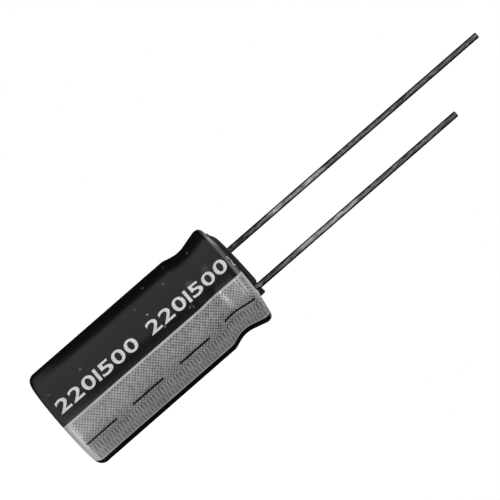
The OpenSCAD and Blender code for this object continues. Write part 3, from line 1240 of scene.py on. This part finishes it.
@dataclass
class Lead:
    """A tinned wire: a tube with tiny unevenness, a rounded foot and a snipped tip."""

    node: str
    finish: TinFinish
    seed: float
    foot: float
    sides: int = 40
    rings: int = 260
    waver: float = 0.004 * MM
    lean: float = 0.1 * MM
    lean_over: float = 0.6 * MM
    chamfer: float = 0.03 * MM
    foot_ring: float = 0.02 * MM
    end_ring: float = 0.01 * MM

    def build(self) -> Object:
        """A circle carried up the CAD wire's axis. Slow sines lessen its radius here and there.

        The last rings draw in to a small chamfer at each end, and a flat cap closes the ends.

        Returns:
            The piece.
        """
        low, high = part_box(self.node)
        centre, radius = (low + high) / 2, (high.x - low.x) / 2
        z = np.linspace(self.foot, high.z, self.rings)
        extra = [self.foot + self.foot_ring, high.z - self.chamfer]
        z = np.unique(np.concatenate([z, extra]))[:, None]
        angle = np.linspace(0, 2 * np.pi, self.sides, endpoint=False)[None]
        s = z / MM
        dent = 1 + np.sin(1.9 * s + self.seed) * np.sin(0.61 * s + 2 * angle)
        r = radius - self.waver * dent / 2
        at_end = np.minimum(z - self.foot, high.z - z) < self.end_ring
        r = np.where(at_end, r - self.chamfer, r)
        shift = self.lean * faded(z, self.foot, self.foot + self.lean_over)
        points = ringed(r, angle, z) + shift[..., None] * np.array(VIEW.across)
        points = (points + np.array([centre.x, centre.y, 0.0])).reshape(-1, 3)
        quads = turned_out(points, grid_quads(len(z), self.sides, False, True))
        numbers = np.arange(len(points)).reshape(-1, self.sides)
        caps = [numbers[0, ::-1].tolist(), numbers[-1].tolist()]
        piece = mesh_object(self.node + "_wire", points, quads.tolist() + caps)
        for polygon in piece.data.polygons[-2:]:
            polygon.use_smooth = False
        dress(piece, self.finish.build(), Slot.WIRE, self.node)
        return piece


def merged_copy(node: str) -> BMesh:
    """A copy of a CAD node's mesh with its loose triangles joined.

    Args:
        node: the CAD node's name.

    Returns:
        The copy.
    """
    copy = bmesh.new()
    copy.from_mesh(NODES[node].data)
    bmesh.ops.remove_doubles(copy, verts=copy.verts, dist=MERGE)
    return copy


def finished(name: str, shape: BMesh) -> Object:
    """An object of a shape, shaded smooth between faces that meet at less than 30 degrees.

    Args:
        name: the piece's name.
        shape: its shape, which is freed.

    Returns:
        The new object.
    """
    mesh = bpy.data.meshes.new(name)
    shape.to_mesh(mesh)
    shape.free()
    mesh.polygons.foreach_set("use_smooth", np.ones(len(mesh.polygons), bool))
    mesh.set_sharp_from_angle(angle=math.radians(CREASE_DEG))
    return linked(name, mesh)


def reshape(piece: Object, points: np.ndarray) -> None:
    """Moves the vertices of a piece to new points."""
    piece.data.vertices.foreach_set("co", points.ravel())
    piece.data.update()


def cut_level(shape: BMesh, spot: tuple[float, ...], normal: tuple[float, ...]) -> None:
    """Adds an edge to a shape wherever a plane meets it."""
    parts = shape.verts[:] + shape.edges[:] + shape.faces[:]
    bmesh.ops.bisect_plane(shape, geom=parts, plane_co=spot, plane_no=normal, dist=CUT)


@dataclass
class Seal:
    """The rubber seal as it has set: its face tilted and pressed aside, a pocket at each lead."""

    finish: RubberFinish = RubberFinish("seal_rubber", roughness=0.8, specular=0.2)
    pocket_r: float = 1.25 * MM
    floor: float = 20.97 * MM
    sides: int = 64
    tilt: float = 0.031
    shift: float = -0.34 * MM
    bulge: float = 0.8 * MM
    bulge_at: float = 20.93 * MM
    bulge_rise: float = 0.46 * MM
    soft_edge: float = 0.15 * MM
    outer_from: float = 2.95 * MM
    outer_to: float = 3.3 * MM
    facing_from: float = 0.7
    facing_to: float = 0.97

    def cutter(self) -> Object:
        """What cuts the pockets: a closed tube round each lead's axis, from the floor upwards.

        Returns:
            The cutter, an object for the boolean.
        """
        angle = np.linspace(0, 2 * np.pi, self.sides, endpoint=False)
        points, faces = [], []
        for number, node in enumerate(("positive_lead", "negative_lead")):
            low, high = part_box(node)
            centre = np.array([(low.x + high.x) / 2, (low.y + high.y) / 2, 0.0])
            base = number * 2 * self.sides
            for level in (self.floor, self.floor + 2 * MM):
                points.append(ringed(self.pocket_r, angle, level) + centre)
            foot, head = base + np.arange(self.sides), base + self.sides + np.arange(self.sides)
            wall = np.column_stack([foot, np.roll(foot, -1), np.roll(head, -1), head])
            faces += wall.tolist() + [foot[::-1].tolist(), head.tolist()]
        return mesh_object("pocket_cutter", np.concatenate(points), faces, smooth=False)

    def set_down(self, points: np.ndarray) -> np.ndarray:
        """The raised face's points moved to where the rubber has set.

        Over the rim a point rises in proportion to its way along the view's `across`. The
        outermost points are also shifted against `across`, and on that side the wall of the face
        bulges over the lip, by a share that falls evenly to nothing at the given rise.

        Args:
            points: an (n, 3) array of the seal's points.

        Returns:
            The moved points.
        """
        across = np.array(VIEW.across)
        side = points @ across
        reach = np.hypot(points[:, 0], points[:, 1])
        top = faded(points[:, 2], self.bulge_at, self.bulge_at + self.soft_edge)
        outer = faded(reach, self.outer_from, self.outer_to)
        raised = points[:, 2] > self.bulge_at - 0.01 * MM
        left = np.clip(1 - (points[:, 2] - self.bulge_at) / self.bulge_rise, 0, 1)
        facing = faded(-side / np.maximum(reach, MM), self.facing_from, self.facing_to)
        bulge = self.bulge * raised * left * outer * facing
        away = points[:, :2] / np.maximum(reach, MM)[:, None]
        moved = points + (self.shift * raised * outer)[:, None] * across
        moved[:, :2] += bulge[:, None] * away
        moved[:, 2] += self.tilt * side * top
        return moved

    def build(self) -> Object:
        """The CAD seal's mesh, ringed at the rim, with pockets cut out and its face set down.

        Returns:
            The piece.
        """
        whole = merged_copy("rubber_seal")
        for level in (self.bulge_at, self.bulge_at + self.soft_edge):
            cut_level(whole, (0.0, 0.0, level), (0.0, 0.0, 1.0))
        rough, cutter = finished("seal_rough", whole), self.cutter()
        cut = rough.modifiers.new("pockets", "BOOLEAN")
        cut.operation, cut.solver, cut.object = "DIFFERENCE", "EXACT", cutter
        bpy.context.view_layer.update()
        seen = rough.evaluated_get(bpy.context.evaluated_depsgraph_get())
        shape = bmesh.new()
        shape.from_mesh(seen.to_mesh())
        seen.to_mesh_clear()
        bmesh.ops.triangulate(shape, faces=shape.faces)
        points = self.set_down(np.array([v.co[:] for v in shape.verts]))
        for piece in (rough, cutter):
            bpy.data.meshes.remove(piece.data)
        piece = finished("seal_plug", shape)
        reshape(piece, points)
        dress(piece, self.finish.build(), Slot.RUBBER, "rubber_seal")
        return piece


@dataclass
class Tabs:
    """The aluminium tabs, with the cones at their welds pressed flat below the pockets' floors."""

    finish: SheetFinish = SheetFinish("tab_aluminium", roughness=0.4, metallic=1.0,
                                      colour=(0.7, 0.71, 0.73), stretch=(1.0, 1.0, 0.1))
    cone: float = 0.35 * MM
    under_floor: float = 0.01 * MM

    def build(self, floor: float) -> None:
        """Each tab is a copy of the CAD tab, whose heights over the stem are cut to hundredths.

        Args:
            floor: the height of the pockets' floors.
        """
        material = self.finish.build()
        for node in ("positive_tab", "negative_tab"):
            shape = merged_copy(node)
            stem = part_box(node)[1].z - self.cone
            points = np.array([v.co[:] for v in shape.verts])
            over = np.maximum(points[:, 2] - stem, 0.0)
            points[:, 2] += over / self.cone * (floor - self.under_floor - stem) - over
            piece = finished(node + "_strip", shape)
            reshape(piece, points)
            dress(piece, material, Slot.TAB, node)


@dataclass
class Interior:
    """The CAD pieces that stay as they are: the can and what is wound inside."""

    can: SheetFinish = SheetFinish("can_aluminium", roughness=0.32, metallic=1.0,
                                   stretch=(1.0, 1.0, 0.1), grain_mm=0.15)
    anode: SheetFinish = SheetFinish("etched_foil", roughness=0.75, metallic=0.9,
                                     colour=(0.5, 0.51, 0.53), grain_mm=0.06)
    cathode: SheetFinish = SheetFinish("plain_foil", roughness=0.4, metallic=1.0,
                                       colour=(0.72, 0.73, 0.75), grain_mm=0.1)
    paper: SheetFinish = SheetFinish("separator_paper", roughness=0.8, specular=0.3,
                                     colour=(0.72, 0.6, 0.42), grain_mm=0.1, depth_mm=0.01)
    tape: SheetFinish = SheetFinish("tape_film", roughness=0.35, colour=(0.8, 0.79, 0.7))

    def build(self) -> None:
        """Repaints each CAD node."""
        repaint("can", self.can.build())
        paper = self.paper.build()
        for node, material in (("inner_paper", paper), ("outer_paper", paper),
                               ("anode_foil", self.anode.build()),
                               ("cathode_foil", self.cathode.build()),
                               ("winding_tape", self.tape.build())):
            repaint(node, material)


class Role(Enum):
    """What a lamp is for: even light on every surface, or a glint on the glossy ones."""

    LIGHT = "light"
    GLINT = "glint"


@dataclass(frozen=True)
class Lamp:
    """A soft area lamp, placed by its turn from the camera's side and its rise over the floor."""

    name: str
    role: Role
    turn_deg: float
    rise_deg: float
    distance: float
    size: tuple[float, float]
    watts: float

    def build(self, aim: Vector) -> None:
        """Makes the lamp, facing the aim, with no view of itself.

        Args:
            aim: the point that the lamp faces.
        """
        data = bpy.data.lights.new(self.name, "AREA")
        data.shape = "RECTANGLE"
        data.size, data.size_y = self.size
        data.energy = self.watts
        lamp = linked(self.name, data)
        way = VIEW.direction(self.turn_deg, self.rise_deg)
        lamp.location = aim + way * self.distance
        lamp.rotation_mode = "QUATERNION"
        lamp.rotation_quaternion = way.to_track_quat("Z", "Y")
        lamp.visible_camera = False
        lamp.visible_glossy = self.role is Role.GLINT
        lamp.visible_diffuse = self.role is Role.LIGHT


@dataclass
class Studio:
    """The pale floor and surroundings, the lamps, and a card that gives the gloss a dark edge."""

    lamps: tuple[Lamp, ...] = (
        Lamp("key", Role.LIGHT, -38.0, 25.0, 0.35, (0.16, 0.3), 0.42),
        Lamp("fill", Role.LIGHT, 42.0, 30.0, 0.4, (0.2, 0.2), 0.3),
        Lamp("top", Role.LIGHT, 10.0, 75.0, 0.3, (0.2, 0.2), 0.22),
        Lamp("low_glint", Role.GLINT, 28.0, -18.0, 0.2, (0.15, 0.02), 0.36),
        Lamp("foot_glint", Role.GLINT, 42.0, -50.0, 0.2, (0.3, 0.03), 0.6),
        Lamp("rim_glint", Role.GLINT, 20.0, 30.0, 0.2, (0.13, 0.03), 0.15),
    )
    aim_height: float = 20.0 * MM
    ambient: float = 0.5
    floor_finish: FloorFinish = FloorFinish("pale_floor", roughness=0.9, specular=0.0, level=0.85)
    card_finish: PlainFinish = PlainFinish("dark_card", roughness=1.0, specular=0.0, level=0.02)
    floor_radius: float = 1.2
    floor_sides: int = 96
    card_radius: float = 0.13
    card_height: float = 0.12
    card_foot: float = 0.028
    card_lift: float = 0.3 * MM
    card_from_deg: float = -19.0
    card_to_deg: float = 258.0
    card_columns: int = 60

    def surroundings(self) -> None:
        """A world that is white where it is seen, and lights the object evenly at a lower level."""
        world = bpy.data.worlds.new("surroundings")
        world.use_nodes = True
        bpy.context.scene.world = world
        w = Wiring(world.node_tree)
        level = w.steps(w.seen(), 0.0, 1.0, self.ambient, 1.0)
        sky = world.node_tree.nodes["Background"].inputs
        w.feed(sky["Strength"], level)
        w.feed(sky["Color"], grey(1.0))

    def floor(self) -> None:
        """A round pale floor, which keeps a faint shadow where it is seen."""
        angle = np.linspace(0, 2 * np.pi, self.floor_sides, endpoint=False)
        rim = ringed(self.floor_radius, angle, 0.0)
        piece = mesh_object("floor", rim, [list(range(len(rim)))], smooth=False)
        piece.data.materials.append(self.floor_finish.build())
        piece.visible_shadow = False

    def card(self) -> None:
        """A dark card bent round the far sides of the object, which only reflections see."""
        turn = np.radians(np.linspace(self.card_from_deg, self.card_to_deg, self.card_columns))
        towards, across = np.array(VIEW.towards), np.array(VIEW.across)
        level = np.cos(turn)[:, None] * towards + np.sin(turn)[:, None] * across
        lift = np.array([0.0, 0.0, 1.0])
        rows = [level * radius + lift * height for radius, height in (
            (self.card_foot, self.card_lift), (self.card_radius, self.card_lift),
            (self.card_radius, self.card_height))]
        points = np.stack(rows, axis=1).reshape(-1, 3)
        quads = grid_quads(len(turn), len(rows), False, False)
        piece = mesh_object("card", points, quads.tolist(), smooth=False)
        piece.data.materials.append(self.card_finish.build())
        piece.visible_camera = piece.visible_diffuse = piece.visible_shadow = False

    def build(self) -> None:
        """Sets up the whole studio."""
        self.surroundings()
        self.floor()
        self.card()
        for lamp in self.lamps:
            lamp.build(Vector((0.0, 0.0, self.aim_height)))
        bpy.context.scene.view_settings.view_transform = "Standard"


@dataclass
class Capacitor:
    """The whole object, sub-assembly by sub-assembly."""

    sleeve: Sleeve = field(default_factory=Sleeve)
    stripe: Stripe = field(default_factory=Stripe)
    figures: Figures = field(default_factory=Figures)
    seal: Seal = field(default_factory=Seal)
    tabs: Tabs = field(default_factory=Tabs)
    interior: Interior = field(default_factory=Interior)
    lead_sunk: float = 0.02 * MM

    def build(self) -> None:
        """Builds the pieces from the outside in."""
        for part in (self.sleeve, self.stripe, self.figures, self.seal):
            part.build()
        tin = TinFinish("tinned_wire", roughness=0.34, metallic=0.6, specular=0.1)
        for node, seed in (("positive_lead", 0.4), ("negative_lead", 2.3)):
            Lead(node, tin, seed, self.seal.floor - self.lead_sunk).build()
        self.tabs.build(self.seal.floor)
        self.interior.build()


def main() -> None:
    """Builds the camera, the object and the studio."""
    logging.basicConfig(level=logging.INFO, format="%(name)s: %(message)s")
    VIEW.make_camera()
    Capacitor().build()
    Studio().build()


if __name__ == "__main__":
    main()
